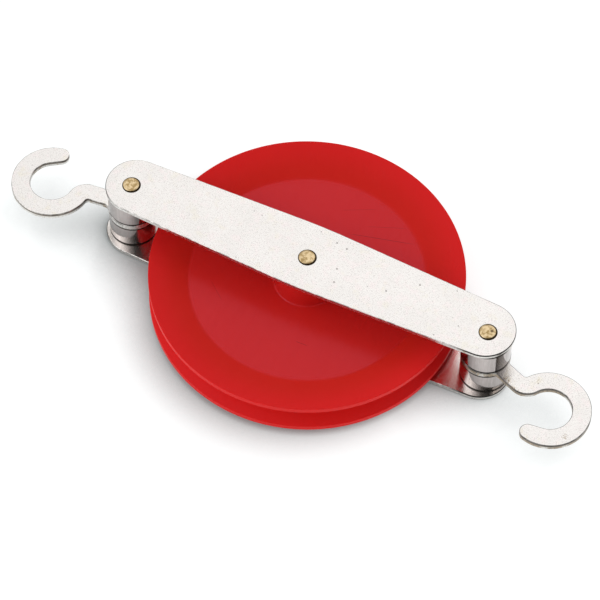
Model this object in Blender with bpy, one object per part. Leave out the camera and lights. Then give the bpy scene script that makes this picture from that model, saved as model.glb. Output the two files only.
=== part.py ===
"""Single-sheave pulley block with two swivel hooks, about 203 x 100 x 25 mm.

One grooved plastic sheave turns on a brass pin between two thin steel side plates.
A shouldered brass pin at each end of the plates carries a flat steel hook between two
loose spacers. The pins' ends are peened over the plates.

Metres, +Z up. The sheave's axis is the Z axis, the plates run along X, and z = 0 is
the outer face of the pins' lower heads, on which the block lies. The loose pieces are
all modelled where gravity leaves them, at the lower end of their play.
"""

from math import acos, asin, atan2, cos, hypot, pi, radians, sin, sqrt, tan

import bmesh
import bpy

MM = 0.001

# Driving dimensions
PIN_SPACING = 61.8 * MM  # sheave axis to each end pin
PLATE_GAP = 21.45 * MM
PLATE_THICKNESS = 1.5 * MM
HOOK_THICKNESS = 2.0 * MM
SPACER_LENGTH = 8.9 * MM
SPACER_RADIUS = 7.8 * MM
SPACER_CHAMFER = 0.2 * MM
SHEAVE_RADIUS = 50.0 * MM

# Clearances
FIT = 0.10 * MM  # faces that bear on each other
LAYER = 0.15 * MM  # hook eye to spacer
RUNNING = 0.12 * MM  # radial, bore to pin
HOLE_GAP = 0.25 * MM  # radial, plate hole to the pin's end

# Pins, one part used three times
PIN_RADIUS = 3.5 * MM
PIN_END_RADIUS = 2.5 * MM
HEAD_RADIUS = 2.95 * MM
HEAD_HEIGHT = 0.3 * MM
HEAD_CHAMFER = 0.12 * MM

# Side plates, the same part turned over for the lower one
PLATE_END_RADIUS = 9.8 * MM
PLATE_END_CENTRE = 60.4 * MM
PLATE_TAPER = radians(2.1)
PLATE_WAIST_RADIUS = 250 * MM
HOLE_OFFSET = 0.6 * MM  # the pin holes' line to the plate's centre line

# Hook, in its own frame: the eye at the origin, the ring's centre on +X
HOOK_REACH = 27.8 * MM
RING_OUTER = 13.1 * MM
RING_INNER = 7.1 * MM
EYE_RADIUS = 7.9 * MM
NECK_BACK = 2.5 * MM
NECK_FRONT = -3.05 * MM
NECK_BEND = 6.0 * MM
NECK_FILLET = 1.5 * MM
CREASE_FILLET = 1.2 * MM
TIP_RADIUS = 2.6 * MM
TIP_ANGLE = radians(-84.3)
RIGHT_SWIVEL = radians(-21.2)
LEFT_SWIVEL = radians(186.1)

# Sheave, sizes from its own mid-plane
RIM_HALF = 6.2 * MM
WEB_HALF = 2.7 * MM
HUB_BELOW = 8.3 * MM
HUB_ABOVE = PLATE_GAP - 2 * FIT - HUB_BELOW
HUB_RADIUS = 10.5 * MM
HUB_FILLET = 0.9 * MM
HUB_EDGE = 0.5 * MM
WEB_OUTER = 37.5 * MM
RIM_EDGE = 0.4 * MM
LIP_WIDTH = 1.9 * MM
GROOVE_FLANK = radians(28)
GROOVE_FLOOR = 2.0 * MM

# Levels
PLATE_LOW = HEAD_HEIGHT + FIT
GAP_LOW = PLATE_LOW + PLATE_THICKNESS
GAP_HIGH = GAP_LOW + PLATE_GAP
PLATE_HIGH = GAP_HIGH + PLATE_THICKNESS
TOP = PLATE_HIGH + FIT + HEAD_HEIGHT
LOWER_SPACER_LOW = GAP_LOW + FIT
HOOK_LOW = LOWER_SPACER_LOW + SPACER_LENGTH + LAYER
UPPER_SPACER_LOW = HOOK_LOW + HOOK_THICKNESS + LAYER
SHEAVE_MID = GAP_LOW + FIT + HUB_BELOW

# Facets
SHEAVE_STEPS = 80
TUBE_STEPS = 48
PIN_STEPS = 36
ARC_STEP = radians(9)


def clear_scene():
    for obj in list(bpy.data.objects):
        bpy.data.objects.remove(obj, do_unlink=True)


def material(name, colour, roughness, metallic):
    mat = bpy.data.materials.new(name)
    mat.use_nodes = True
    shader = mat.node_tree.nodes["Principled BSDF"]
    shader.inputs["Base Color"].default_value = (*colour, 1.0)
    shader.inputs["Roughness"].default_value = roughness
    shader.inputs["Metallic"].default_value = metallic
    return mat


def arc(centre, radius, start, end, step=ARC_STEP):
    """Points of an arc from start to end, in radians, both ends included."""
    count = max(2, round(abs(end - start) / step))
    turns = (start + (end - start) * i / count for i in range(count + 1))
    return [(centre[0] + radius * cos(a), centre[1] + radius * sin(a)) for a in turns]


def without_repeats(points):
    """Drops a point that lies on the one before it, round the closed loop."""
    return [
        p
        for i, p in enumerate(points)
        if hypot(p[0] - points[i - 1][0], p[1] - points[i - 1][1]) > 1e-6
    ]


def finish(name, bm, mat, sharp=radians(28)):
    bmesh.ops.remove_doubles(bm, verts=bm.verts, dist=1e-7)
    bmesh.ops.recalc_face_normals(bm, faces=bm.faces)
    mesh = bpy.data.meshes.new(name)
    bm.to_mesh(mesh)
    bm.free()
    mesh.shade_smooth()
    mesh.set_sharp_from_angle(angle=sharp)
    mesh.materials.append(mat)
    return mesh


def place(name, mesh, parent=None, location=(0, 0, 0), turn=0.0):
    obj = bpy.data.objects.new(name, mesh)
    bpy.context.scene.collection.objects.link(obj)
    obj.parent = parent
    obj.location = location
    obj.rotation_euler = (0, 0, turn)
    return obj


def axis_empty(name, location):
    empty = bpy.data.objects.new(name, None)
    empty.empty_display_type = "SINGLE_ARROW"
    empty.empty_display_size = 30 * MM
    bpy.context.scene.collection.objects.link(empty)
    empty.location = location
    return empty


def turned(name, profile, steps, mat, closed):
    """A solid of revolution about Z from (radius, z) points.

    A closed profile makes a ring or a tube. An open one starts and ends on the axis.
    """
    bm = bmesh.new()
    verts = [bm.verts.new((r, 0, z)) for r, z in profile]
    edges = [bm.edges.new(pair) for pair in zip(verts, verts[1:])]
    if closed:
        edges.append(bm.edges.new((verts[-1], verts[0])))
    bmesh.ops.spin(
        bm,
        geom=verts + edges,
        cent=(0, 0, 0),
        axis=(0, 0, 1),
        angle=2 * pi,
        steps=steps,
        use_merge=True,
    )
    return finish(name, bm, mat)


def stamped(name, outline, holes, low, thickness, mat):
    """Sheet metal: a flat outline with round holes, extruded along Z."""
    bm = bmesh.new()
    edges = []
    loops = [without_repeats(outline)]
    for x, y, radius in holes:
        loops.append(without_repeats(arc((x, y), radius, 0, 2 * pi, 2 * pi / PIN_STEPS)))
    for loop in loops:
        verts = [bm.verts.new((x, y, low)) for x, y in loop]
        edges += [bm.edges.new((a, b)) for a, b in zip(verts, verts[1:] + verts[:1])]
    bmesh.ops.triangle_fill(bm, edges=edges, use_beauty=True, use_dissolve=False)
    raised = bmesh.ops.extrude_face_region(bm, geom=list(bm.faces))
    verts = [g for g in raised["geom"] if isinstance(g, bmesh.types.BMVert)]
    bmesh.ops.translate(bm, verts=verts, vec=(0, 0, thickness))
    return finish(name, bm, mat)


def plate_outline(shift):
    """Straight tapers between round ends, meeting in a long arc at the middle."""
    rise = PLATE_END_CENTRE * tan(PLATE_TAPER) + PLATE_END_RADIUS / cos(PLATE_TAPER)
    centre_y = rise - PLATE_WAIST_RADIUS / cos(PLATE_TAPER)
    up = pi / 2
    points = []
    for side in (1, -1):
        turn = 0 if side == 1 else pi
        middle = (0, shift + side * centre_y)
        end = (-side * PLATE_END_CENTRE, shift)
        points += arc(
            middle, PLATE_WAIST_RADIUS, turn + up - PLATE_TAPER, turn + up + PLATE_TAPER, PLATE_TAPER / 2
        )
        points += arc(end, PLATE_END_RADIUS, turn + up + PLATE_TAPER, turn + 3 * up - PLATE_TAPER)
    return points


def hook_outline():
    """A band of even width: eye, short neck, sharp bend and a ring open on one side."""
    ring = (HOOK_REACH, 0)
    # The neck's front bend touches the ring's inner circle.
    bend_y = NECK_FRONT + NECK_BEND
    bend_x = HOOK_REACH - sqrt((NECK_BEND + RING_INNER) ** 2 - bend_y**2)
    bend_end = atan2(-bend_y, HOOK_REACH - bend_x)
    # The tip's round end touches the ring's outer circle and the tip's straight inner edge.
    tip_reach = RING_OUTER - TIP_RADIUS
    straight = TIP_ANGLE + acos((RING_INNER + TIP_RADIUS) / tip_reach)
    tip = (HOOK_REACH + tip_reach * cos(TIP_ANGLE), tip_reach * sin(TIP_ANGLE))
    # The crease between the neck's back edge and the ring.
    crease_y = NECK_BACK + CREASE_FILLET
    crease_turn = asin(crease_y / (RING_OUTER + CREASE_FILLET))
    crease = (HOOK_REACH - (RING_OUTER + CREASE_FILLET) * cos(crease_turn), crease_y)
    # Fillets from the eye into the neck.
    back_y = NECK_BACK + NECK_FILLET
    back_turn = asin(back_y / (EYE_RADIUS + NECK_FILLET))
    back = ((EYE_RADIUS + NECK_FILLET) * cos(back_turn), back_y)
    front_y = NECK_FRONT - NECK_FILLET
    front_turn = asin(front_y / (EYE_RADIUS + NECK_FILLET))
    front = ((EYE_RADIUS + NECK_FILLET) * cos(front_turn), front_y)
    points = arc((0, 0), EYE_RADIUS, back_turn, 2 * pi + front_turn, radians(12))
    points += arc(front, NECK_FILLET, pi + front_turn, pi / 2, radians(20))
    points += arc((bend_x, bend_y), NECK_BEND, -pi / 2, bend_end, radians(12))
    points += arc(ring, RING_INNER, pi + bend_end, straight)
    points += arc(tip, TIP_RADIUS, pi + straight, 2 * pi + TIP_ANGLE, radians(18))
    points += arc(ring, RING_OUTER, TIP_ANGLE, pi - crease_turn, radians(7.5))
    points += arc(crease, CREASE_FILLET, -crease_turn, -pi / 2, radians(25))
    points += arc(back, NECK_FILLET, -pi / 2, back_turn - pi, radians(20))
    return points


def groove_profile():
    """The rope groove, from the upper lip to the lower one, about z = 0."""
    lip_z = RIM_HALF - LIP_WIDTH
    touch_z = GROOVE_FLOOR * cos(GROOVE_FLANK)
    touch_r = SHEAVE_RADIUS - (lip_z - touch_z) / tan(GROOVE_FLANK)
    floor_centre = (touch_r + GROOVE_FLOOR * sin(GROOVE_FLANK), 0)
    upper = pi / 2 + GROOVE_FLANK
    floor = arc(floor_centre, GROOVE_FLOOR, upper, 2 * pi - upper, radians(25))
    return [(SHEAVE_RADIUS, lip_z), *floor, (SHEAVE_RADIUS, -lip_z)]


def sheave_side(hub):
    """One side of the sheave, from its bore out to the rim's edge, at positive z."""
    bore = PIN_RADIUS + RUNNING
    fillet_centre = (HUB_RADIUS + HUB_FILLET, WEB_HALF + HUB_FILLET)
    side = [(bore, hub), (HUB_RADIUS - HUB_EDGE, hub), (HUB_RADIUS, hub - HUB_EDGE)]
    side += arc(fillet_centre, HUB_FILLET, pi, 3 * pi / 2, radians(30))
    side += [(WEB_OUTER, WEB_HALF), (SHEAVE_RADIUS - RIM_EDGE, RIM_HALF)]
    side += [(SHEAVE_RADIUS, RIM_HALF - RIM_EDGE)]
    return side


def sheave_profile():
    upper = sheave_side(HUB_ABOVE)
    lower = [(r, -z) for r, z in reversed(sheave_side(HUB_BELOW))]
    return [(r, z + SHEAVE_MID) for r, z in upper + groove_profile() + lower]


def pin_profile():
    """From the lower head's face up to the upper one, both ends on the axis."""
    lower = [
        (0, 0),
        (HEAD_RADIUS - HEAD_CHAMFER, 0),
        (HEAD_RADIUS, HEAD_CHAMFER),
        (HEAD_RADIUS, HEAD_HEIGHT),
        (PIN_END_RADIUS, HEAD_HEIGHT),
        (PIN_END_RADIUS, GAP_LOW + FIT),
        (PIN_RADIUS, GAP_LOW + FIT),
    ]
    return lower + [(r, TOP - z) for r, z in reversed(lower)]


def tube_profile(outer, inner, low, high, edge):
    return [
        (inner, low),
        (outer - edge, low),
        (outer, low + edge),
        (outer, high - edge),
        (outer - edge, high),
        (inner, high),
    ]


def build():
    clear_scene()
    nickel = material("nickel_plate", (0.80, 0.78, 0.74), 0.32, 1.0)
    bright = material("bright_nickel", (0.76, 0.75, 0.74), 0.16, 1.0)
    brass = material("brass", (0.78, 0.60, 0.34), 0.42, 1.0)
    plastic = material("red_plastic", (0.62, 0.018, 0.016), 0.34, 0.0)

    axle = axis_empty("sheave_axis", (0, 0, 0))
    ends = {
        "left": axis_empty("left_swivel_axis", (-PIN_SPACING, 0, 0)),
        "right": axis_empty("right_swivel_axis", (PIN_SPACING, 0, 0)),
    }

    hole_radius = PIN_END_RADIUS + HOLE_GAP
    holes = [(x, 0, hole_radius) for x in (-PIN_SPACING, 0, PIN_SPACING)]
    for name, shift, low in (
        ("upper_side_plate", HOLE_OFFSET, GAP_HIGH),
        ("lower_side_plate", -HOLE_OFFSET, PLATE_LOW),
    ):
        plate = stamped(name, plate_outline(shift), holes, low, PLATE_THICKNESS, nickel)
        place(name, plate)

    place("sheave", turned("sheave", sheave_profile(), SHEAVE_STEPS, plastic, True), axle)

    pin = turned("pin", pin_profile(), PIN_STEPS, brass, False)
    place("axle_pin", pin, axle)
    spacer = turned(
        "spacer",
        tube_profile(SPACER_RADIUS, PIN_RADIUS + RUNNING, 0, SPACER_LENGTH, SPACER_CHAMFER),
        TUBE_STEPS,
        bright,
        True,
    )
    eye = [(0, 0, PIN_RADIUS + RUNNING)]
    hook = stamped("hook", hook_outline(), eye, HOOK_LOW, HOOK_THICKNESS, nickel)
    for side, swivel in (("left", LEFT_SWIVEL), ("right", RIGHT_SWIVEL)):
        place(side + "_end_pin", pin, ends[side])
        place(side + "_lower_spacer", spacer, ends[side], (0, 0, LOWER_SPACER_LOW))
        place(side + "_upper_spacer", spacer, ends[side], (0, 0, UPPER_SPACER_LOW))
        place(side + "_hook", hook, ends[side], turn=swivel)


build()
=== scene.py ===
"""Looks of the single-sheave pulley block: finer meshes in place of the CAD solids, their
materials, a white floor, soft studio light and the camera.

Metres, in the CAD model's own frame: the sheave's axis is Z and the plates run along X.
Each piece replaces one CAD node, keeps that node's size and place, and rides on its body.
"""

from math import acos, asin, atan2, cos, hypot, pi, radians, sin, sqrt, tan

import bmesh
import bpy
from mathutils import Matrix, Quaternion, Vector, noise


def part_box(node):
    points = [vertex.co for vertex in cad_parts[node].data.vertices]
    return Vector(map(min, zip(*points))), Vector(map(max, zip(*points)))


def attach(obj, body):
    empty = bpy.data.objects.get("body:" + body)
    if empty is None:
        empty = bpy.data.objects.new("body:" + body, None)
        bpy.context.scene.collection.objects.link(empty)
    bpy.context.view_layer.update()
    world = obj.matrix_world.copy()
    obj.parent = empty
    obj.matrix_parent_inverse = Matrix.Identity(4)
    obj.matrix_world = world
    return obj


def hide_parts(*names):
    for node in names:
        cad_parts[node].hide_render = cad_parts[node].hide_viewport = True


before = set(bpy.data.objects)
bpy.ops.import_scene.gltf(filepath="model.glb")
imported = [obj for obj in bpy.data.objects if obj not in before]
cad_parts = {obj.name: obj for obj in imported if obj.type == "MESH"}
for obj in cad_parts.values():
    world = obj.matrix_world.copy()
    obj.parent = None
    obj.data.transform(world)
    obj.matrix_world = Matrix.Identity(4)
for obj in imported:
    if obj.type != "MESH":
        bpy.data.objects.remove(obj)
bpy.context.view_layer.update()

MM = 0.001

# From the frame
SHEAVE_LOW, SHEAVE_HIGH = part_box("sheave")
UPPER_LOW, UPPER_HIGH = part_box("upper_side_plate")
LOWER_LOW, LOWER_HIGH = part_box("lower_side_plate")
PIN_LOW, PIN_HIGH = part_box("axle_pin")
RIGHT_PIN_LOW, RIGHT_PIN_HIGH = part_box("right_end_pin")
SPACER_LOW, SPACER_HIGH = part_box("right_lower_spacer")
UPPER_SPACER_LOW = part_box("right_upper_spacer")[0].z
HOOK_LOW, HOOK_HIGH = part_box("right_hook")

PIN_SPACING = (RIGHT_PIN_LOW.x + RIGHT_PIN_HIGH.x) / 2
SHEAVE_RADIUS = (SHEAVE_HIGH.x - SHEAVE_LOW.x) / 2
SPACER_RADIUS = (SPACER_HIGH.x - SPACER_LOW.x) / 2
PIN_RADIUS = (PIN_HIGH.x - PIN_LOW.x) / 2

# Shared with the CAD model
PIN_END_RADIUS = 2.5 * MM
HEAD_RADIUS = 2.95 * MM
RUNNING = 0.12 * MM
FIT = 0.10 * MM

PLATE_END_RADIUS = 9.8 * MM
PLATE_END_CENTRE = 60.4 * MM
PLATE_TAPER = radians(2.1)
PLATE_WAIST_RADIUS = 250 * MM
HOLE_OFFSET = 0.6 * MM
HOLE_RADIUS = 2.75 * MM

HOOK_REACH = 27.8 * MM
RING_OUTER = 13.1 * MM
RING_INNER = 7.1 * MM
EYE_RADIUS = 7.9 * MM
NECK_BACK = 2.5 * MM
NECK_FRONT = -3.05 * MM
NECK_BEND = 6.0 * MM
NECK_FILLET = 1.5 * MM
CREASE_FILLET = 1.2 * MM
TIP_RADIUS = 2.6 * MM
TIP_ANGLE = radians(-84.3)
SWIVELS = {"right": radians(-21.2), "left": radians(186.1)}

RIM_HALF = 6.2 * MM
WEB_HALF = 2.7 * MM
HUB_BELOW = 8.3 * MM
HUB_RADIUS = 10.5 * MM
WEB_OUTER = 37.5 * MM
LIP_WIDTH = 1.9 * MM
GROOVE_FLANK = radians(28)
GROOVE_FLOOR = 2.0 * MM
SHEAVE_MID = SHEAVE_LOW.z + HUB_BELOW
HUB_ABOVE = SHEAVE_HIGH.z - SHEAVE_MID

# Fineness of the round pieces: steps in a turn, and the wheel profile's longest step
PIN_STEPS = 48
SLEEVE_STEPS = 160
WHEEL_STEPS = 240
LONGEST_STEP = 2.0 * MM

# Edges sharper than this stay sharp
SHEET_CREASE = radians(50)
TURNED_CREASE = radians(40)


# ---------------------------------------------------------------- shapes


def arc(centre, radius, start, end, step=radians(3)):
    """Points of an arc from start to end, in radians, both ends included."""
    count = max(3, round(abs(end - start) / step))
    turns = (start + (end - start) * i / count for i in range(count + 1))
    return [(centre[0] + radius * cos(a), centre[1] + radius * sin(a)) for a in turns]


def without_repeats(points):
    return [
        p
        for i, p in enumerate(points)
        if hypot(p[0] - points[i - 1][0], p[1] - points[i - 1][1]) > 1e-6
    ]


def inset(outline, distance):
    """The outline moved inwards, each point along the mean normal of its two edges."""
    moved = []
    for i, (x, y) in enumerate(outline):
        before = Vector(outline[i - 1])
        after = Vector(outline[(i + 1) % len(outline)])
        here = Vector((x, y))
        along = (here - before).normalized() + (after - here).normalized()
        along.normalize()
        moved.append((x - along.y * distance, y + along.x * distance))
    return moved


def fillet(corner, before, after, radius, count=4):
    """An arc that rounds a corner of a profile."""
    corner, before, after = Vector(corner), Vector(before), Vector(after)
    a = (before - corner).normalized()
    b = (after - corner).normalized()
    half = a.angle(b) / 2
    reach = min(radius / tan(half), 0.45 * min((before - corner).length, (after - corner).length))
    radius = reach * tan(half)
    centre = corner + (a + b).normalized() * (radius / sin(half))
    start = (corner + a * reach - centre).normalized()
    end = (corner + b * reach - centre).normalized()
    return [tuple(centre + start.slerp(end, i / count) * radius) for i in range(count + 1)]


def rounded_profile(points):
    """A closed profile from (radius, z, rounding) points."""
    result = []
    for i, (r, z, rounding) in enumerate(points):
        before = points[i - 1][:2]
        after = points[(i + 1) % len(points)][:2]
        if rounding:
            result += fillet((r, z), before, after, rounding)
        else:
            result.append((r, z))
    return result


def plate_outline(shift):
    rise = PLATE_END_CENTRE * tan(PLATE_TAPER) + PLATE_END_RADIUS / cos(PLATE_TAPER)
    centre_y = rise - PLATE_WAIST_RADIUS / cos(PLATE_TAPER)
    up = pi / 2
    points = []
    for side in (1, -1):
        turn = 0 if side == 1 else pi
        middle = (0, shift + side * centre_y)
        end = (-side * PLATE_END_CENTRE, shift)
        points += arc(
            middle, PLATE_WAIST_RADIUS, turn + up - PLATE_TAPER, turn + up + PLATE_TAPER, PLATE_TAPER / 6
        )
        points += arc(end, PLATE_END_RADIUS, turn + up + PLATE_TAPER, turn + 3 * up - PLATE_TAPER)
    return without_repeats(points)


def hook_outline():
    ring = (HOOK_REACH, 0)
    bend_y = NECK_FRONT + NECK_BEND
    bend_x = HOOK_REACH - sqrt((NECK_BEND + RING_INNER) ** 2 - bend_y**2)
    bend_end = atan2(-bend_y, HOOK_REACH - bend_x)
    tip_reach = RING_OUTER - TIP_RADIUS
    straight = TIP_ANGLE + acos((RING_INNER + TIP_RADIUS) / tip_reach)
    tip = (HOOK_REACH + tip_reach * cos(TIP_ANGLE), tip_reach * sin(TIP_ANGLE))
    crease_y = NECK_BACK + CREASE_FILLET
    crease_turn = asin(crease_y / (RING_OUTER + CREASE_FILLET))
    crease = (HOOK_REACH - (RING_OUTER + CREASE_FILLET) * cos(crease_turn), crease_y)
    back_y = NECK_BACK + NECK_FILLET
    back_turn = asin(back_y / (EYE_RADIUS + NECK_FILLET))
    back = ((EYE_RADIUS + NECK_FILLET) * cos(back_turn), back_y)
    front_y = NECK_FRONT - NECK_FILLET
    front_turn = asin(front_y / (EYE_RADIUS + NECK_FILLET))
    front = ((EYE_RADIUS + NECK_FILLET) * cos(front_turn), front_y)
    points = arc((0, 0), EYE_RADIUS, back_turn, 2 * pi + front_turn)
    points += arc(front, NECK_FILLET, pi + front_turn, pi / 2, radians(9))
    points += arc((bend_x, bend_y), NECK_BEND, -pi / 2, bend_end)
    points += arc(ring, RING_INNER, pi + bend_end, straight)
    points += arc(tip, TIP_RADIUS, pi + straight, 2 * pi + TIP_ANGLE, radians(6))
    points += arc(ring, RING_OUTER, TIP_ANGLE, pi - crease_turn, radians(2))
    points += arc(crease, CREASE_FILLET, -crease_turn, -pi / 2, radians(9))
    points += arc(back, NECK_FILLET, -pi / 2, back_turn - pi, radians(9))
    return without_repeats(points)


# The edge of a punched sheet as (inset, depth), in mm: a rolled upper edge, measured down
# from the top face, then after a straight sheared wall a slightly broken lower edge,
# measured from the bottom face.
ROLLED_EDGE = (
    (0.26, 0.0),
    (0.17, 0.008),
    (0.10, 0.03),
    (0.045, 0.075),
    (0.012, 0.14),
    (0.0, 0.22),
)
BROKEN_EDGE = ((0.0, -0.14), (0.03, -0.06), (0.09, -0.015), (0.18, 0.0))


def edge_levels(low, high):
    rolled = [(d * MM, high - z * MM) for d, z in ROLLED_EDGE]
    broken = [(d * MM, low - z * MM) for d, z in BROKEN_EDGE]
    return rolled + broken


def new_mesh(name, bm, materials, sharp):
    bmesh.ops.recalc_face_normals(bm, faces=bm.faces)
    mesh = bpy.data.meshes.new(name)
    bm.to_mesh(mesh)
    bm.free()
    mesh.shade_smooth()
    mesh.set_sharp_from_angle(angle=sharp)
    for mat in materials:
        mesh.materials.append(mat)
    return mesh


def stamped(name, outline, holes, low, high, materials):
    """A punched sheet. Its first material covers the faces, its second the sheared wall."""
    bm = bmesh.new()
    levels = edge_levels(low, high)
    wall_levels = range(len(ROLLED_EDGE) - 2, len(ROLLED_EDGE) + 1)
    borders = [(outline, 1)]
    for x, y, radius in holes:
        borders.append((without_repeats(arc((x, y), radius, 0, 2 * pi, radians(6))), -1))
    tops, bottoms = [], []
    for border, way in borders:
        loops = []
        for depth, z in levels:
            loops.append([bm.verts.new((x, y, z)) for x, y in inset(border, way * depth)])
        for k, (a, b) in enumerate(zip(loops, loops[1:])):
            for i in range(len(a)):
                j = (i + 1) % len(a)
                face = bm.faces.new((a[i], b[i], b[j], a[j]))
                face.material_index = int(k in wall_levels)
        tops.append(loops[0])
        bottoms.append(loops[-1])
    for group in (tops, bottoms):
        edges = []
        for loop in group:
            edges += [bm.edges.get((loop[i - 1], loop[i])) for i in range(len(loop))]
        bmesh.ops.triangle_fill(bm, edges=edges, use_beauty=True, use_dissolve=False)
    return new_mesh(name, bm, materials, SHEET_CREASE)


def turned(name, profile, steps, material, closed=True):
    """A profile of (radius, z) points turned about Z."""
    bm = bmesh.new()
    verts = [bm.verts.new((r, 0, z)) for r, z in profile]
    edges = [bm.edges.new(pair) for pair in zip(verts, verts[1:])]
    if closed:
        edges.append(bm.edges.new((verts[-1], verts[0])))
    bmesh.ops.spin(
        bm, geom=verts + edges, cent=(0, 0, 0), axis=(0, 0, 1), angle=2 * pi, steps=steps, use_merge=True
    )
    bmesh.ops.remove_doubles(bm, verts=bm.verts, dist=1e-7)
    return new_mesh(name, bm, [material], TURNED_CREASE)


def show(name, mesh, node, body, at=(0, 0, 0), flat_faces=False):
    """Puts a piece in place of a CAD node and has it ride on that node's body."""
    piece = bpy.data.objects.new(name, mesh)
    bpy.context.scene.collection.objects.link(piece)
    piece.location = at
    if flat_faces:
        level = piece.modifiers.new("level_faces", "WEIGHTED_NORMAL")
        level.keep_sharp = True
        level.weight = 100
    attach(piece, body)
    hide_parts(node)
    return piece


# ---------------------------------------------------------------- materials

# The floor's glow and its painted shade: the glow fades by how open the sky is within this reach,
# looking this way, which makes the painted shade deeper on the left, and between these two amounts
FLOOR_GLOW = 0.85
FLOOR_LEAST_GLOW = 0.10 * FLOOR_GLOW
FLOOR_SHADE_REACH = 27 * MM
FLOOR_SHADE_LEAN = (0.43, 0.22, 0.88)
FLOOR_SHADE_RANGE = (0.34, 0.84)
FLOOR_RADIUS = 3.0

# Painted shade in the seam round a pin's head, partly dirt, made wider on one side by a painted shadow
SEAM_SHADOW_SHIFT = (-0.18 * MM, 0.07 * MM, 0)
SEAM_SHADE_RADII = (2.46 * MM, 2.66 * MM)

# Painted dark reflection under a sheet's rim, partly dirt: it fades out between these depths. Round a
# plate it is longer at the right end.
RIM_DIRT_AND_DARK_REFLECTION_COLOUR = (0.03, 0.027, 0.024)
RIM_DIRT_AND_DARK_REFLECTION_DEPTHS = (0.38 * MM, 0.62 * MM)
RIM_DIRT_AND_DARK_REFLECTION_SHIFT = 5 * MM

# How strong that line is at least and at most, where it isn't whole
PLATE_RIM_DIRT_AND_DARK_REFLECTION = (0.0, 0.45)

# For each hook: how stained it is, then the same least and most strength of its painted dark rim line
HOOK_STAIN_AND_RIM_DARK_REFLECTION = {"left": (0.3, (0.15, 0.7)), "right": (0.85, (0.6, 0.9))}

# The darker torn part of a hook's wall ends between these depths
TORN_DEPTHS = (0.75 * MM, 1.15 * MM)

# Step in the brass's pattern from one pin to the next, as a share of the pins' spacing
BRASS_STEP = 0.37

# A pit in the right pin's upper end, as (x, y, size) from its axis
BRASS_PIT = (1.0 * MM, 0.66 * MM, 0.6 * MM)

# Hammer dents in the pins' ends: their width and depth, how far they go out and down, over
# what height they fade in, and the step in their pattern from one pin to the next
DENT_WIDTH = 1.3 * MM
DENT_DEPTH = 0.10 * MM
DENT_RADIUS = 2.63 * MM
DENT_REACH = 0.34 * MM
DENT_FADE = 0.2 * MM
DENT_STEP = 7.0 * MM

# Pits in the upper plate's face, as (x, y), in mm
PIT_SIZE = 0.36 * MM
PLATE_PITS = ((6.0, 9.0), (9.7, 8.3), (10.1, 0.3), (11.4, -4.5), (27.3, -0.3), (35.8, 6.3))

# Where rust shows through the plating of a hook's face, as (x, y, size) from its pin, in mm
RUST_ZONES = {
    "left": ((-9.0, -3.6, 1.4), (-15.0, -4.6, 1.2)),
    "right": (
        (9.8, -6.6, 1.5),
        (12.3, -8.5, 1.6),
        (15.2, -9.3, 1.7),
        (18.0, -9.2, 1.3),
        (34.0, -17.0, 1.2),
    ),
}

# Scratches in the sheave's upper web, as (from, to, half width), all in mm
WEB_SCRATCHES = (
    ((3.5, 20.5), (26.2, 26.6), 0.13),
    ((8.0, 25.5), (21.0, 31.0), 0.07),
    ((-2.0, 27.5), (9.5, 33.5), 0.06),
    ((6.8, -22.6), (11.2, -22.4), 0.12),
    ((-27.0, -14.0), (-20.0, -19.5), 0.06),
)


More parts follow.
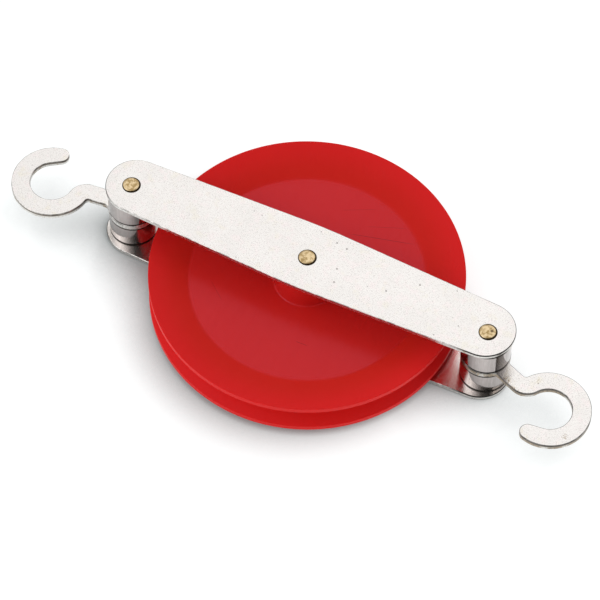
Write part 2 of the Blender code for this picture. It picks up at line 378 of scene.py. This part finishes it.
class Nodes:
    """Short calls for building one material's node tree."""

    def __init__(self, name):
        self.mat = bpy.data.materials.new(name)
        self.mat.use_nodes = True
        self.tree = self.mat.node_tree
        self.shader = self.tree.nodes["Principled BSDF"]
        coords = self.tree.nodes.new("ShaderNodeTexCoord")
        self.place = coords.outputs["Object"]
        self.share = coords.outputs["Generated"]

    def add(self, kind, **settings):
        node = self.tree.nodes.new(kind)
        for key, value in settings.items():
            setattr(node, key, value)
        return node

    def link(self, source, target):
        if isinstance(source, (int, float)):
            target.default_value = source
        elif isinstance(source, tuple):
            target.default_value = (*source, 1.0) if len(target.default_value) == 4 else source
        else:
            self.tree.links.new(source, target)

    def math(self, operation, a, b=None, clamp=False):
        node = self.add("ShaderNodeMath", operation=operation, use_clamp=clamp)
        self.link(a, node.inputs[0])
        if b is not None:
            self.link(b, node.inputs[1])
        return node.outputs[0]

    def noise(self, size, detail=2.0, rough=0.5, place=None, distortion=0.0):
        """Noise with features of about this size, in metres."""
        node = self.add("ShaderNodeTexNoise")
        self.link(place or self.place, node.inputs["Vector"])
        node.inputs["Scale"].default_value = 1 / size
        node.inputs["Detail"].default_value = detail
        node.inputs["Roughness"].default_value = rough
        node.inputs["Distortion"].default_value = distortion
        return node.outputs["Fac"]

    def cells(self, size, feature="F1", place=None):
        node = self.add("ShaderNodeTexVoronoi", feature=feature)
        self.link(place or self.place, node.inputs["Vector"])
        node.inputs["Scale"].default_value = 1 / size
        return node

    def ramp(self, value, low, high, to_low=0.0, to_high=1.0, even=False):
        node = self.add("ShaderNodeMapRange", interpolation_type="LINEAR" if even else "SMOOTHSTEP")
        self.link(value, node.inputs["Value"])
        node.inputs["From Min"].default_value = low
        node.inputs["From Max"].default_value = high
        node.inputs["To Min"].default_value = to_low
        node.inputs["To Max"].default_value = to_high
        return node.outputs["Result"]

    def mix(self, factor, a, b):
        node = self.add("ShaderNodeMix", data_type="RGBA")
        self.link(factor, node.inputs[0])
        self.link(a, node.inputs[6])
        self.link(b, node.inputs[7])
        return node.outputs[2]

    def split(self, vector=None):
        node = self.add("ShaderNodeSeparateXYZ")
        self.link(vector or self.place, node.inputs[0])
        return node.outputs

    def stretch(self, scale, turn=(0, 0, 0)):
        node = self.add("ShaderNodeMapping")
        self.link(self.place, node.inputs["Vector"])
        node.inputs["Scale"].default_value = scale
        node.inputs["Rotation"].default_value = turn
        return node.outputs["Vector"]

    def bump(self, height, distance, strength=1.0, normal=None):
        node = self.add("ShaderNodeBump")
        self.link(height, node.inputs["Height"])
        node.inputs["Distance"].default_value = distance
        node.inputs["Strength"].default_value = strength
        if normal is not None:
            self.link(normal, node.inputs["Normal"])
        return node.outputs["Normal"]

    def near_end(self, full, none):
        """1 on the piece's top and bottom, down to 0, by the share of its height from them."""
        off = self.math("ABSOLUTE", self.math("SUBTRACT", self.split(self.share)[2], 0.5))
        return self.ramp(off, 0.5 - none, 0.5 - full)

    def near_top(self, full, none):
        """1 down to this share of the piece's height from its top, then fading to 0."""
        return self.ramp(self.split(self.share)[2], 1 - none, 1 - full)

    def rim_dirt_and_dark_reflection(self, thickness, least, most):
        """Painted dark reflection under a sheet's rim, partly dirt: whole at a plate's ends, elsewhere
        from least to most.
        """
        line = self.near_top(*(depth / thickness for depth in RIM_DIRT_AND_DARK_REFLECTION_DEPTHS))
        face = self.near_top(0.0, 0.012 * MM / thickness)
        broken = self.ramp(self.noise(2.2 * MM, detail=2.0), 0.42, 0.60, least, most)
        off_centre = self.math("ABSOLUTE", self.math("ADD", self.split()[0], RIM_DIRT_AND_DARK_REFLECTION_SHIFT))
        ends = self.ramp(off_centre, PLATE_END_CENTRE - 5 * MM, PLATE_END_CENTRE + 4 * MM)
        return self.math(
            "MULTIPLY", self.math("SUBTRACT", line, face, clamp=True), self.math("MAXIMUM", broken, ends)
        )

    def spot(self, x, y, z, size, place=None):
        node = self.add("ShaderNodeVectorMath", operation="DISTANCE")
        self.link(place or self.place, node.inputs[0])
        node.inputs[1].default_value = (x, y, z)
        return self.ramp(node.outputs["Value"], size * 0.6, size, 1.0, 0.0)

    def scratch(self, start, end, half_width):
        """A straight scratch between two points of the XY plane."""
        turn = atan2(end[1] - start[1], end[0] - start[0])
        node = self.add("ShaderNodeMapping", vector_type="TEXTURE")
        self.link(self.place, node.inputs["Vector"])
        node.inputs["Location"].default_value = ((start[0] + end[0]) / 2, (start[1] + end[1]) / 2, 0)
        node.inputs["Rotation"].default_value = (0, 0, turn)
        along, across, _ = self.split(node.outputs["Vector"])
        reach = hypot(end[0] - start[0], end[1] - start[1]) / 2
        thin = self.ramp(self.math("ABSOLUTE", across), half_width * 0.4, half_width, 1.0, 0.0)
        short = self.ramp(self.math("ABSOLUTE", along), reach * 0.6, reach, 1.0, 0.0)
        return self.math("MULTIPLY", thin, short)

    def strongest(self, masks):
        result = masks[0]
        for mask in masks[1:]:
            result = self.math("MAXIMUM", result, mask)
        return result

    def radius(self):
        """Distance from the piece's Z axis."""
        x, y, _ = self.split()
        squares = self.math("ADD", self.math("MULTIPLY", x, x), self.math("MULTIPLY", y, y))
        return self.math("SQRT", squares)

    def set(self, name, value):
        self.link(value, self.shader.inputs[name])


def pitted(n, pits):
    """Tiny scattered pits, and these larger ones in the upper plate's face."""
    cells = n.cells(2.8 * MM)
    near = n.ramp(cells.outputs["Distance"], 0.04, 0.09, 1.0, 0.0)
    chosen = n.ramp(n.split(cells.outputs["Color"])[0], 0.62, 0.64)
    scattered = n.math("MULTIPLY", near, chosen)
    return n.strongest([scattered, *(n.spot(x * MM, y * MM, UPPER_HIGH.z, PIT_SIZE) for x, y in pits)])


def rusty(n, yellow, zones):
    """Fine rust, faint where the plating is yellow and strong in these zones of a hook."""
    rust = n.noise(0.6 * MM, detail=3.0, rough=0.65, place=n.stretch((1, 1, 1), (0.1, 1.3, 0.6)))
    spots = [n.spot(x * MM, y * MM, HOOK_HIGH.z, size * MM) for x, y, size in zones]
    places = n.strongest([n.ramp(yellow, 0.60, 0.80, 0.0, 0.5), *spots])
    return n.math("MULTIPLY", n.ramp(rust, 0.46, 0.60), places)


def plated_steel(name, thickness, rim_dirt_and_reflection_strength, stain=0.0, pits=(), rust_zones=()):
    """Satin nickel over sheet steel: fine speckle, tiny pits, faint blotches, and along the rim a
    painted dark reflection that is partly dirt.
    """
    n = Nodes(name)
    grain = n.noise(0.55 * MM, detail=3.0, rough=0.7)
    speck = n.noise(0.30 * MM, detail=2.0, place=n.stretch((1, 1, 1), (0.5, 0.9, 0.2)))
    soft = n.noise(9 * MM, detail=2.0)
    pink = n.noise(2.6 * MM, detail=3.0, place=n.stretch((1, 1, 1), (0.3, 0.2, 1.1)))
    yellow = n.noise(3.4 * MM, detail=3.0, place=n.stretch((1, 1, 1), (1.2, 0.4, 0.3)))
    colour = n.mix(n.ramp(soft, 0.35, 0.65), (0.88, 0.85, 0.82), (0.91, 0.88, 0.85))
    colour = n.mix(n.ramp(pink, 0.50, 0.68, 0.0, 0.7), colour, (0.935, 0.85, 0.835))
    colour = n.mix(n.ramp(yellow, 0.55, 0.72, 0.0, 0.6 + 0.4 * stain), colour, (0.885, 0.84, 0.745))
    colour = n.mix(n.ramp(grain, 0.50, 0.72, 0.0, 0.45), colour, (0.93, 0.90, 0.875))
    colour = n.mix(n.ramp(speck, 0.32, 0.48, 0.50, 0.0), colour, (0.55, 0.51, 0.49))
    marks = pitted(n, pits)
    colour = n.mix(n.math("MULTIPLY", marks, 0.6), colour, (0.22, 0.19, 0.17))
    if stain:
        rust = rusty(n, yellow, rust_zones)
        colour = n.mix(n.math("MULTIPLY", rust, stain), colour, (0.36, 0.25, 0.13))
    # Painted dark reflection along the rim, partly dirt
    colour = n.mix(n.rim_dirt_and_dark_reflection(thickness, *rim_dirt_and_reflection_strength), colour, RIM_DIRT_AND_DARK_REFLECTION_COLOUR)
    n.set("Base Color", colour)
    n.set("Metallic", 1.0)
    n.set("Roughness", n.ramp(grain, 0.3, 0.7, 0.13, 0.22))
    height = n.math("SUBTRACT", n.math("ADD", grain, speck), n.math("MULTIPLY", marks, 2.0))
    n.set("Normal", n.bump(height, 0.02 * MM, 0.8))
    return n.mat


def sheared_steel(name, thickness, rim_dirt_and_reflection_strength, stain=0.0):
    """The punched wall of a sheet: thin plating over torn metal, brown where it is bare.
    On a hook, which is stained, its upper part is darker away from the eye."""
    n = Nodes(name)
    tear = n.noise(0.5 * MM, detail=4.0, rough=0.7, place=n.stretch((1, 1, 0.35)))
    patch = n.noise(4.0 * MM, detail=2.0)
    colour = n.mix(n.ramp(tear, 0.30, 0.62), (0.54, 0.52, 0.49), (0.80, 0.78, 0.75))
    mixed = n.math("ADD", n.math("MULTIPLY", tear, 0.35), n.math("MULTIPLY", patch, 0.65))
    bare = n.ramp(mixed, 0.60 - 0.22 * stain, 0.68 - 0.22 * stain)
    brown = n.mix(n.ramp(tear, 0.35, 0.6), (0.10, 0.075, 0.05), (0.40, 0.30, 0.19))
    colour = n.mix(n.math("MULTIPLY", bare, 0.85), colour, brown)
    if stain:
        off_eye = n.ramp(n.radius(), EYE_RADIUS + 0.5 * MM, EYE_RADIUS + 2 * MM)
        torn = n.near_top(*(depth / thickness for depth in TORN_DEPTHS))
        colour = n.mix(n.math("MULTIPLY", off_eye, torn), colour, (0.20, 0.17, 0.14))
    # Painted dark reflection along the rim, partly dirt
    colour = n.mix(n.rim_dirt_and_dark_reflection(thickness, *rim_dirt_and_reflection_strength), colour, RIM_DIRT_AND_DARK_REFLECTION_COLOUR)
    n.set("Base Color", colour)
    n.set("Metallic", 1.0)
    n.set("Roughness", n.ramp(tear, 0.3, 0.7, 0.24, 0.42))
    n.set("Normal", n.bump(tear, 0.04 * MM, 0.5))
    return n.mat


def bright_nickel(name):
    """Turned and plated sleeve: nearly a mirror, finely brushed along its length, with painted shade at
    both ends.
    """
    n = Nodes(name)
    brush = n.noise(0.35 * MM, detail=2.0, place=n.stretch((1, 1, 0.05)))
    haze = n.noise(3 * MM, detail=3.0)
    colour = n.mix(haze, (0.48, 0.435, 0.42), (0.56, 0.51, 0.495))
    colour = n.mix(n.ramp(brush, 0.35, 0.65, 0.35, 0.0), colour, (0.34, 0.31, 0.295))
    # Painted shade at both ends, where a sleeve meets a plate and a hook's eye
    colour = n.mix(n.math("MULTIPLY", n.near_end(0.045, 0.075), 0.97), colour, (0.04, 0.035, 0.03))
    n.set("Base Color", colour)
    n.set("Metallic", 1.0)
    n.set("Roughness", n.ramp(haze, 0.3, 0.7, 0.07, 0.13))
    n.set("Normal", n.bump(n.math("ADD", brush, n.noise(0.5 * MM, detail=2.0)), 0.006 * MM, 0.5))
    return n.mat


def peened_brass(name):
    """Brass, hammered on its ends, with brown dirt in the dents, and painted shade, partly dirt, round
    the seam.
    """
    n = Nodes(name)
    shift = n.add("ShaderNodeVectorMath", operation="MULTIPLY_ADD")
    n.link(n.add("ShaderNodeObjectInfo").outputs["Location"], shift.inputs[0])
    shift.inputs[1].default_value = (BRASS_STEP, BRASS_STEP, BRASS_STEP)
    n.link(n.place, shift.inputs[2])
    own = shift.outputs[0]
    dents = n.noise(1.5 * MM, detail=3.0, rough=0.6, place=own, distortion=0.5)
    fine = n.noise(0.35 * MM, detail=3.0, place=own)
    colour = n.mix(n.ramp(dents, 0.36, 0.56), (0.52, 0.36, 0.16), (0.90, 0.70, 0.42))
    colour = n.mix(n.ramp(fine, 0.32, 0.46, 0.55, 0.0), colour, (0.30, 0.20, 0.09))
    pit_x, pit_y, pit_size = BRASS_PIT
    pit = n.spot(PIN_SPACING * BRASS_STEP + pit_x, pit_y, PIN_HIGH.z, pit_size, own)
    colour = n.mix(n.math("MULTIPLY", pit, 0.85), colour, (0.12, 0.07, 0.03))
    # Painted shade round the seam, partly dirt, with a painted shadow on one side
    from_centre = n.add("ShaderNodeVectorMath", operation="DISTANCE")
    n.link(n.stretch((1, 1, 0)), from_centre.inputs[0])
    from_centre.inputs[1].default_value = SEAM_SHADOW_SHIFT
    seam = n.ramp(from_centre.outputs["Value"], *SEAM_SHADE_RADII)
    colour = n.mix(seam, colour, (0.030, 0.018, 0.008))
    n.set("Base Color", colour)
    n.set("Metallic", 1.0)
    n.set("Roughness", n.ramp(dents, 0.3, 0.7, 0.40, 0.26))
    n.set("Normal", n.bump(n.math("ADD", dents, n.math("MULTIPLY", fine, 0.25)), 0.12 * MM, 0.4))
    return n.mat


def hairlines(n):
    """Fine straight scratches in three directions."""
    lines = []
    for turn, size in ((0.4, 2.2), (1.5, 2.9), (2.6, 2.5)):
        place = n.stretch((1, 0.035, 1), (0, 0, turn))
        lines.append(n.ramp(n.noise(size * 0.2 * MM, detail=1.0, place=place), 0.66, 0.70))
    return n.strongest(lines)


def web_cuts(n):
    """The longer scratches of the upper web."""
    cuts = []
    for start, end, width in WEB_SCRATCHES:
        ends = [(x * MM, y * MM) for x, y in (start, end)]
        cuts.append(n.scratch(*ends, width * MM))
    upper = n.ramp(n.split()[2], SHEAVE_MID, SHEAVE_MID + 1 * MM)
    return n.math("MULTIPLY", n.strongest(cuts), upper)


def red_plastic(name):
    """Moulded red plastic: a glossier web with scratches and a little painted sheen, a duller cone, and
    a lip made brighter by painted glow.
    """
    n = Nodes(name)
    swirl = n.noise(14 * MM, detail=3.0, rough=0.55, distortion=0.6)
    fine = n.noise(0.5 * MM, detail=2.0)
    radius = n.radius()
    # The web's base is a little bluer than the cone's: a painted sheen on top of its real gloss
    web = n.mix(swirl, (0.69, 0.018, 0.015), (0.72, 0.022, 0.019))
    cone = n.mix(swirl, (0.68, 0.018, 0.011), (0.71, 0.021, 0.014))
    # Painted glow: towards the rim the plastic is brighter, standing in for light that shines through
    # the thin rim
    lip = n.mix(swirl, (0.75, 0.018, 0.016), (0.78, 0.021, 0.019))
    colour = n.mix(n.ramp(radius, WEB_OUTER - 0.5 * MM, WEB_OUTER + 0.5 * MM), web, cone)
    colour = n.mix(n.ramp(radius, WEB_OUTER + 2 * MM, SHEAVE_RADIUS - 1 * MM), colour, lip)
    cuts = web_cuts(n)
    colour = n.mix(n.math("MULTIPLY", cuts, 0.6), colour, (0.22, 0.012, 0.012))
    n.set("Base Color", colour)
    n.set("Roughness", n.ramp(radius, WEB_OUTER - 1 * MM, WEB_OUTER + 1 * MM, 0.27, 0.40))
    n.set("Specular IOR Level", n.ramp(radius, WEB_OUTER - 1 * MM, WEB_OUTER + 1 * MM, 0.24, 0.06))
    n.set("Specular Tint", (0.5, 0.65, 1.0))
    n.set("Subsurface Weight", 0.12)
    n.set("Subsurface Radius", (4.0 * MM, 0.6 * MM, 0.4 * MM))
    n.set("Subsurface Scale", 1.0)
    peel = n.ramp(radius, WEB_OUTER - 1 * MM, WEB_OUTER + 1 * MM, 1.0, 0.3)
    dug = n.math("MAXIMUM", hairlines(n), cuts)
    height = n.math("SUBTRACT", n.math("MULTIPLY", fine, peel), dug)
    n.set("Normal", n.bump(height, 0.02 * MM, 0.6))
    return n.mat


def floor_paper():
    """Backlit white paper with painted shade: its glow fades where the object stands close over it."""
    n = Nodes("floor_paper")
    open_sky = n.add("ShaderNodeAmbientOcclusion", samples=16)
    open_sky.inputs["Distance"].default_value = FLOOR_SHADE_REACH
    lean = n.add("ShaderNodeVectorMath", operation="NORMALIZE")
    lean.inputs[0].default_value = FLOOR_SHADE_LEAN
    n.link(lean.outputs[0], open_sky.inputs["Normal"])
    # Painted shade: the glow is dimmed where the sky is hidden, more on the left
    glow_with_painted_shade = n.ramp(
        open_sky.outputs["AO"], *FLOOR_SHADE_RANGE, FLOOR_LEAST_GLOW, FLOOR_GLOW, even=True
    )
    # Less red than white, because the sheave's red light falls on it
    n.set("Base Color", (0.30, 0.33, 0.33))
    n.set("Roughness", 0.9)
    n.set("Specular IOR Level", 0.0)
    n.set("Emission Color", (1.0, 1.0, 1.0))
    n.set("Emission Strength", glow_with_painted_shade)
    return n.mat


# ---------------------------------------------------------------- pieces


def sheave_profile():
    """The whole closed section, from the bore's upper edge outwards and round."""
    bore = PIN_RADIUS + RUNNING
    lip_z = RIM_HALF - LIP_WIDTH
    touch_z = GROOVE_FLOOR * cos(GROOVE_FLANK)
    touch_r = SHEAVE_RADIUS - (lip_z - touch_z) / tan(GROOVE_FLANK)
    side = [
        (bore, HUB_ABOVE, 0.25 * MM),
        (HUB_RADIUS, HUB_ABOVE, 0.5 * MM),
        (HUB_RADIUS, WEB_HALF, 0.6 * MM),
        (WEB_OUTER, WEB_HALF, 0.8 * MM),
        (SHEAVE_RADIUS, RIM_HALF, 0.13 * MM),
        (SHEAVE_RADIUS, lip_z, 0.3 * MM),
        (touch_r, touch_z, 0.9 * MM),
    ]
    below = [(r, -min(z, HUB_BELOW), rounding) for r, z, rounding in reversed(side)]
    return [(r, z + SHEAVE_MID) for r, z in rounded_profile(side + below)]


def subdivided(profile, longest):
    """Splits long straight stretches of a profile, so that bump and blending stay even."""
    result = []
    for a, b in zip(profile, profile[1:] + profile[:1]):
        across = b[0] - a[0]
        up = b[1] - a[1]
        parts = max(1, round(hypot(across, up) / longest))
        result += [(a[0] + across * i / parts, a[1] + up * i / parts) for i in range(parts)]
    return result


def pin_profile():
    """Lower half of a pin, from its end face to the middle: peened end, seam, shoulder."""
    plate_face = LOWER_LOW.z
    plate_back = LOWER_HIGH.z
    return [
        (0, 0),
        (0.3 * MM, 0.0),
        (0.6 * MM, 0.0),
        (0.9 * MM, 0.0),
        (1.2 * MM, 0.005 * MM),
        (1.5 * MM, 0.015 * MM),
        (1.8 * MM, 0.03 * MM),
        (2.1 * MM, 0.05 * MM),
        (2.3 * MM, 0.085 * MM),
        (2.45 * MM, 0.13 * MM),
        (2.56 * MM, 0.2 * MM),
        (2.6 * MM, 0.32 * MM),
        (2.64 * MM, plate_face - 0.03 * MM),
        (HEAD_RADIUS, plate_face - 0.03 * MM),
        (HEAD_RADIUS, plate_face - 0.005 * MM),
        (PIN_END_RADIUS, plate_face),
        (PIN_END_RADIUS, plate_back + FIT),
        (PIN_RADIUS - 0.1 * MM, plate_back + FIT),
        (PIN_RADIUS, plate_back + FIT + 0.1 * MM),
    ]


def pin_mesh(name, number, mat):
    half = pin_profile()
    top = PIN_HIGH.z
    profile = half + [(r, top - z) for r, z in reversed(half)]
    mesh = turned(name, profile, PIN_STEPS, mat, closed=False)
    for v in mesh.vertices:
        reach = hypot(v.co.x, v.co.y)
        out = abs(v.co.z - top / 2) - (top / 2 - DENT_REACH)
        if out > 0 and reach < DENT_RADIUS:
            spot = Vector((v.co.x, v.co.y, number * DENT_STEP)) / DENT_WIDTH
            dent = (noise.noise(spot) * 0.5 + 0.5) * DENT_DEPTH * min(1, out / DENT_FADE)
            v.co.z += dent if v.co.z < top / 2 else -dent
    mesh.update()
    return mesh


def spacer_profile(length):
    bore = PIN_RADIUS + RUNNING
    return rounded_profile(
        [
            (bore, 0, 0.2 * MM),
            (SPACER_RADIUS, 0, 0.38 * MM),
            (SPACER_RADIUS, length, 0.38 * MM),
            (bore, length, 0.2 * MM),
        ]
    )


def hook_mesh(side):
    """A hook about its pin, turned to how it lies."""
    thickness = HOOK_HIGH.z - HOOK_LOW.z
    stain, rim_dirt_and_reflection_strength = HOOK_STAIN_AND_RIM_DARK_REFLECTION[side]
    looks = [
        plated_steel(f"{side}_hook_face", thickness, rim_dirt_and_reflection_strength, stain, rust_zones=RUST_ZONES[side]),
        sheared_steel(f"{side}_hook_wall", thickness, rim_dirt_and_reflection_strength, stain),
    ]
    eye = [(0, 0, PIN_RADIUS + RUNNING)]
    mesh = stamped(f"fine_{side}_hook", hook_outline(), eye, HOOK_LOW.z, HOOK_HIGH.z, looks)
    mesh.transform(Matrix.Rotation(SWIVELS[side], 4, "Z"))
    return mesh


def make_plates():
    thickness = UPPER_HIGH.z - UPPER_LOW.z
    looks = [
        plated_steel("plated_steel", thickness, PLATE_RIM_DIRT_AND_DARK_REFLECTION, pits=PLATE_PITS),
        sheared_steel("plated_wall", thickness, PLATE_RIM_DIRT_AND_DARK_REFLECTION),
    ]
    holes = [(x, 0, HOLE_RADIUS) for x in (-PIN_SPACING, 0, PIN_SPACING)]
    for side, shift, low, high in (
        ("upper", HOLE_OFFSET, UPPER_LOW.z, UPPER_HIGH.z),
        ("lower", -HOLE_OFFSET, LOWER_LOW.z, LOWER_HIGH.z),
    ):
        mesh = stamped(f"{side}_plate", plate_outline(shift), holes, low, high, looks)
        show(f"{side}_plate", mesh, f"{side}_side_plate", "frame", flat_faces=True)


def make_wheel():
    profile = subdivided(sheave_profile(), LONGEST_STEP)
    mesh = turned("wheel", profile, WHEEL_STEPS, red_plastic("red_plastic"))
    show("wheel", mesh, "sheave", "sheave", flat_faces=True)


def make_pins():
    brass = peened_brass("peened_brass")
    pins = (("axle_pin", 0), ("left_end_pin", -PIN_SPACING), ("right_end_pin", PIN_SPACING))
    for i, (node, x) in enumerate(pins):
        show(f"fine_{node}", pin_mesh(f"fine_{node}", i, brass), node, "frame", (x, 0, 0))


def make_ends():
    """At each end of the plates, a hook between two sleeves."""
    nickel = bright_nickel("bright_nickel")
    sleeve = turned("sleeve", spacer_profile(SPACER_HIGH.z - SPACER_LOW.z), SLEEVE_STEPS, nickel)
    for side, x in (("left", -PIN_SPACING), ("right", PIN_SPACING)):
        for level, z in (("lower", SPACER_LOW.z), ("upper", UPPER_SPACER_LOW)):
            node = f"{side}_{level}_spacer"
            show(f"fine_{node}", sleeve, node, node, (x, 0, z), flat_faces=True)
        node = f"{side}_hook"
        show(f"fine_{node}", hook_mesh(side), node, node, (x, 0, 0), flat_faces=True)


# ---------------------------------------------------------------- surroundings

CAMERA_AIM = Vector((4.77, -15.05, 24.85)) * MM
CAMERA_AZIMUTH = radians(25.31)
CAMERA_ELEVATION = radians(58.04)
CAMERA_ROLL = radians(0.73)
CAMERA_DISTANCE = 1.0095
CAMERA_LENS = 195.74


def direction(azimuth, elevation):
    """Unit vector towards a point at this azimuth (0 is -Y, 90 is +X) and elevation."""
    flat = cos(elevation)
    return Vector((sin(azimuth) * flat, -cos(azimuth) * flat, sin(elevation)))


def make_camera():
    data = bpy.data.cameras.new("camera")
    data.lens = CAMERA_LENS
    data.clip_start = 0.05
    data.clip_end = 50
    camera = bpy.data.objects.new("camera", data)
    back = direction(CAMERA_AZIMUTH, CAMERA_ELEVATION)
    camera.location = CAMERA_AIM + back * CAMERA_DISTANCE
    camera.rotation_mode = "QUATERNION"
    camera.rotation_quaternion = (-back).to_track_quat("-Z", "Y") @ Quaternion((0, 0, 1), CAMERA_ROLL)
    bpy.context.scene.collection.objects.link(camera)
    bpy.context.scene.camera = camera


# Soft panels of the studio as (azimuth, elevation, spread, brightness), in degrees: one hangs
# behind the object, one stands low at either side and one hangs at the front left. The sky
# is dark high up at the front right.
PANELS = ((195, 57, 18, 0.675), (106.7, 12, 37, 1.02), (270.3, 12, 37, 0.58), (318, 47, 18, 2.2))
ROOM_BRIGHTNESS = 0.22
DARK_SIDE = (45, 61, 23)


def glow(tree, place, azimuth, elevation, spread):
    """A round soft patch on the sky: 1 in its middle, fading to 0 over this many degrees."""
    dot = tree.nodes.new("ShaderNodeVectorMath")
    dot.operation = "DOT_PRODUCT"
    tree.links.new(place, dot.inputs[0])
    dot.inputs[1].default_value = direction(radians(azimuth), radians(elevation))
    value = dot.outputs["Value"]
    for operation, number in (("SUBTRACT", 1.0), ("DIVIDE", radians(spread) ** 2), ("EXPONENT", None)):
        value = sky_math(tree, operation, value, number)
    return value


def sky_math(tree, operation, a, b=None):
    node = tree.nodes.new("ShaderNodeMath")
    node.operation = operation
    for value, target in ((a, node.inputs[0]), (b, node.inputs[1])):
        if isinstance(value, (int, float)):
            target.default_value = value
        elif value is not None:
            tree.links.new(value, target)
    return node.outputs[0]


def make_world():
    world = bpy.data.worlds.new("studio")
    world.use_nodes = True
    tree = world.node_tree
    place = tree.nodes.new("ShaderNodeTexCoord").outputs["Generated"]
    light = ROOM_BRIGHTNESS
    for azimuth, elevation, spread, brightness in PANELS:
        panel = glow(tree, place, azimuth, elevation, spread)
        light = sky_math(tree, "ADD", sky_math(tree, "MULTIPLY", panel, brightness), light)
    lit = sky_math(tree, "SUBTRACT", 1.0, glow(tree, place, *DARK_SIDE))
    background = tree.nodes["Background"]
    background.inputs["Color"].default_value = (1, 1, 1, 1)
    tree.links.new(sky_math(tree, "MULTIPLY", light, lit), background.inputs["Strength"])
    bpy.context.scene.world = world


def make_floor():
    bm = bmesh.new()
    bmesh.ops.create_circle(bm, cap_ends=True, segments=64, radius=FLOOR_RADIUS)
    mesh = bpy.data.meshes.new("floor")
    bm.to_mesh(mesh)
    bm.free()
    mesh.materials.append(floor_paper())
    floor = bpy.data.objects.new("floor", mesh)
    bpy.context.scene.collection.objects.link(floor)


make_plates()
make_wheel()
make_pins()
make_ends()
make_camera()
make_world()
make_floor()
bpy.context.scene.view_settings.view_transform = "Standard"
